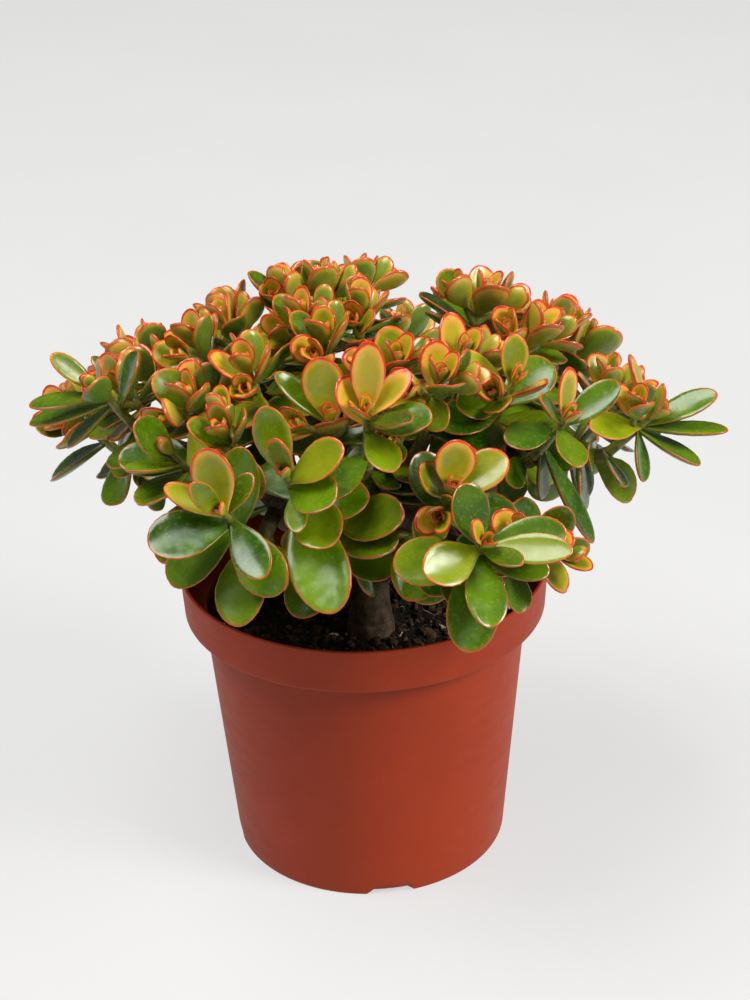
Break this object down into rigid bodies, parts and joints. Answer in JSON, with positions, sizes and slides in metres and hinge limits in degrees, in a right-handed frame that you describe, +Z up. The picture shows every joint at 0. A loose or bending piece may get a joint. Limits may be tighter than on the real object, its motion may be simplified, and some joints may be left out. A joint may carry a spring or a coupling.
{
  "type": "potted jade plant",
  "caption": "Branching succulent with thick oval leaves in crossed pairs, rooted in a round tapered nursery pot that stands on its flat foot.",
  "frame": {"origin": "centre of the flat pad under the pot, on the surface that it stands on", "axes": "+Z up; the plant's fullest side faces -Y and its widest spread runs along X"},
  "size_m": [0.3796, 0.3412, 0.3547],
  "materials": {
    "pot": "moulded terracotta-coloured plastic, matte with a soft sheen",
    "soil": "moist dark potting mix, crumbly",
    "bark": "grey-brown bark with ringed leaf scars",
    "leaf": "waxy green leaf, yellow to red at the edges, satin gloss"
  },
  "bodies": {
    "root": {"pot": "pot", "soil": "soil", "trunk": "bark", "stems_back_left": "bark", "stems_back_right": "bark", "stems_far_left": "bark", "stems_far_right": "bark", "stems_front": "bark", "stems_front_left": "bark", "stems_front_right": "bark", "stems_left": "bark", "stems_right": "bark", "stems_top": "bark", "stems_top_left": "bark", "stems_top_right": "bark", "shoot_01": "leaf", "shoot_02": "leaf", "shoot_03": "leaf", "shoot_04": "leaf", "shoot_05": "leaf", "shoot_06": "leaf", "shoot_07": "leaf", "shoot_08": "leaf", "shoot_09": "leaf", "shoot_10": "leaf", "shoot_11": "leaf", "shoot_12": "leaf", "shoot_13": "leaf", "shoot_14": "leaf", "shoot_15": "leaf", "shoot_16": "leaf", "shoot_17": "leaf", "shoot_18": "leaf", "shoot_19": "leaf", "shoot_20": "leaf", "shoot_21": "leaf", "shoot_22": "leaf", "shoot_23": "leaf", "shoot_24": "leaf", "shoot_25": "leaf", "shoot_26": "leaf", "shoot_27": "leaf", "shoot_28": "leaf", "shoot_29": "leaf", "shoot_30": "leaf", "shoot_31": "leaf", "shoot_32": "leaf", "shoot_33": "leaf", "shoot_34": "leaf", "shoot_35": "leaf", "shoot_36": "leaf", "shoot_37": "leaf", "shoot_38": "leaf", "shoot_39": "leaf", "shoot_40": "leaf", "shoot_41": "leaf", "shoot_42": "leaf", "shoot_43": "leaf", "shoot_44": "leaf", "shoot_45": "leaf"}
  },
  "joints": []
}
